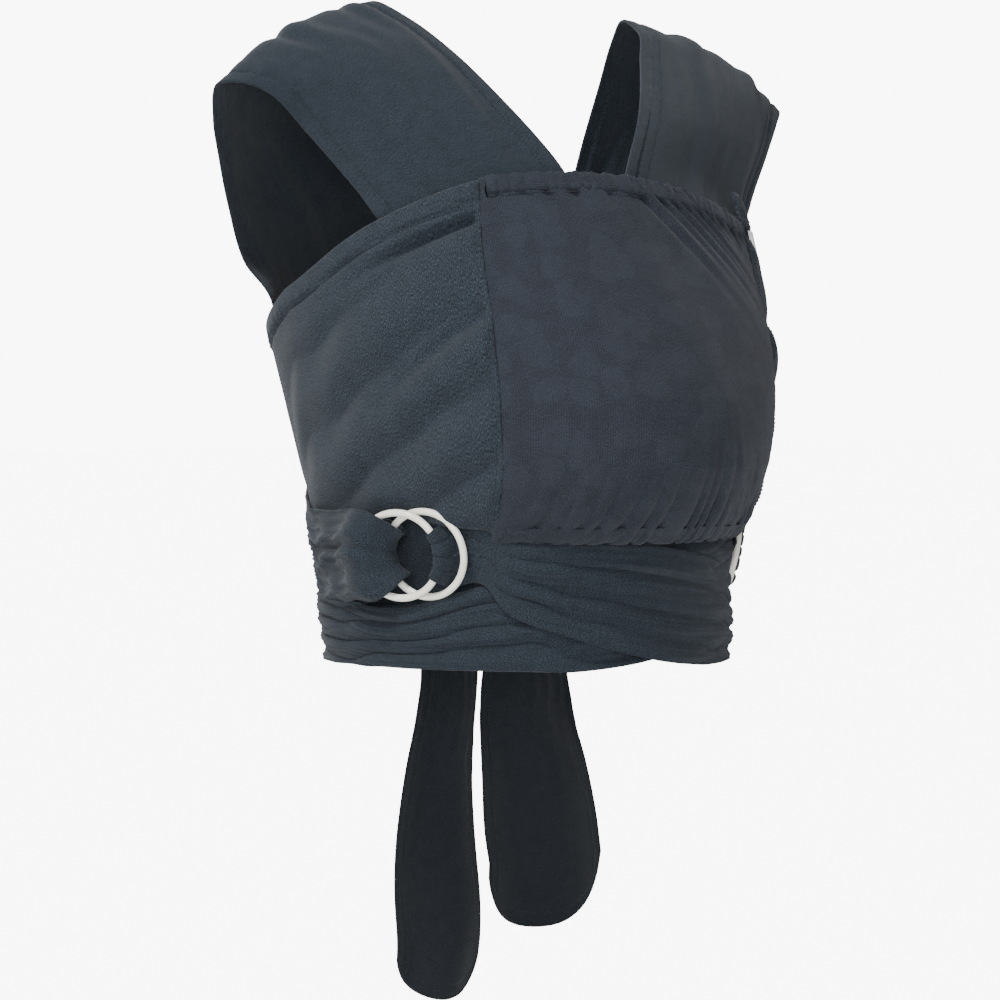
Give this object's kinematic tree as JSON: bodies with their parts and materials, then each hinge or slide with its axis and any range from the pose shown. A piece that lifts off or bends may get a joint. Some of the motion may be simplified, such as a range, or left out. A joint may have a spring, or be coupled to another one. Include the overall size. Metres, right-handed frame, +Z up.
{
  "type": "baby wrap sling",
  "caption": "Jersey baby wrap sling with ring-fastened shoulder bands crossing the back, a gathered front pouch panel, side wings and knotted tails, in its worn shape.",
  "frame": {"origin": "midway between the two shoulders, on the line over which the shoulder bands rest on the wearer", "axes": "+Z up, -Y the way the wearer faces, -X the wearer's right"},
  "size_m": [0.546, 0.4119, 0.814],
  "materials": {
    "band_jersey": "slate blue-grey melange jersey, matt, slightly fuzzy",
    "wing_jersey": "slate blue-grey melange jersey, matt, slightly fuzzy",
    "printed_jersey": "darker violet-grey jersey with a faint tone-on-tone spot print, matt",
    "lining": "plain dark single jersey, matt",
    "elastic": "woven elastic tape, matt",
    "ring_coating": "off-white powder coat, satin",
    "label_ribbon": "white woven ribbon, blank, satin"
  },
  "bodies": {
    "sling": {"back_knot": "band_jersey", "knot_wrap": "band_jersey", "left_back_band": "band_jersey", "left_back_sash": "band_jersey", "left_chest_band": "band_jersey", "left_front_sash": "band_jersey", "left_hip_band": "band_jersey", "left_inner_strap": "band_jersey", "left_ring_fold": "band_jersey", "left_ring_loop": "band_jersey", "left_sash_lead": "band_jersey", "left_shoulder_band": "band_jersey", "left_wing": "wing_jersey", "left_wing_facing": "wing_jersey", "left_wing_hem": "wing_jersey", "pouch_bottom_elastic": "elastic", "pouch_lining": "lining", "pouch_panel": "printed_jersey", "pouch_top_elastic": "elastic", "right_back_band": "band_jersey", "right_back_sash": "band_jersey", "right_chest_band": "band_jersey", "right_front_sash": "band_jersey", "right_hip_band": "band_jersey", "right_inner_strap": "band_jersey", "right_ring_fold": "band_jersey", "right_ring_loop": "band_jersey", "right_sash_lead": "band_jersey", "right_shoulder_band": "band_jersey", "right_wing": "wing_jersey", "right_wing_facing": "wing_jersey", "right_wing_hem": "wing_jersey", "side_label": "label_ribbon"},
    "left_inner_ring": {"left_inner_ring": "ring_coating"},
    "left_outer_ring": {"left_outer_ring": "ring_coating"},
    "right_inner_ring": {"right_inner_ring": "ring_coating"},
    "right_outer_ring": {"right_outer_ring": "ring_coating"},
    "right_tail": {"right_tail": "band_jersey"},
    "left_tail": {"left_tail": "band_jersey"}
  },
  "joints": [
    {"name": "right_outer_ring_turn", "type": "hinge", "parent": "sling", "child": "right_outer_ring", "pos_m": [-0.16157, -0.0704, -0.39752], "axis": [-0.828, -0.5385, -0.1562], "continuous": true},
    {"name": "right_inner_ring_turn", "type": "hinge", "parent": "sling", "child": "right_inner_ring", "pos_m": [-0.14643, -0.0836, -0.39648], "axis": [-0.8804, -0.4478, -0.1562], "continuous": true},
    {"name": "left_outer_ring_turn", "type": "hinge", "parent": "sling", "child": "left_outer_ring", "pos_m": [0.16157, -0.0704, -0.39752], "axis": [0.828, -0.5385, -0.1562], "continuous": true},
    {"name": "left_inner_ring_turn", "type": "hinge", "parent": "sling", "child": "left_inner_ring", "pos_m": [0.14643, -0.0836, -0.39648], "axis": [0.8804, -0.4478, -0.1562], "continuous": true},
    {"name": "right_tail_swing", "type": "hinge", "parent": "sling", "child": "right_tail", "pos_m": [0.025, 0.142, -0.488], "axis": [1, 0, 0], "range_deg": [-8, 60]},
    {"name": "left_tail_swing", "type": "hinge", "parent": "sling", "child": "left_tail", "pos_m": [0.103, 0.142, -0.488], "axis": [1, 0, 0], "range_deg": [-8, 60]}
  ]
}
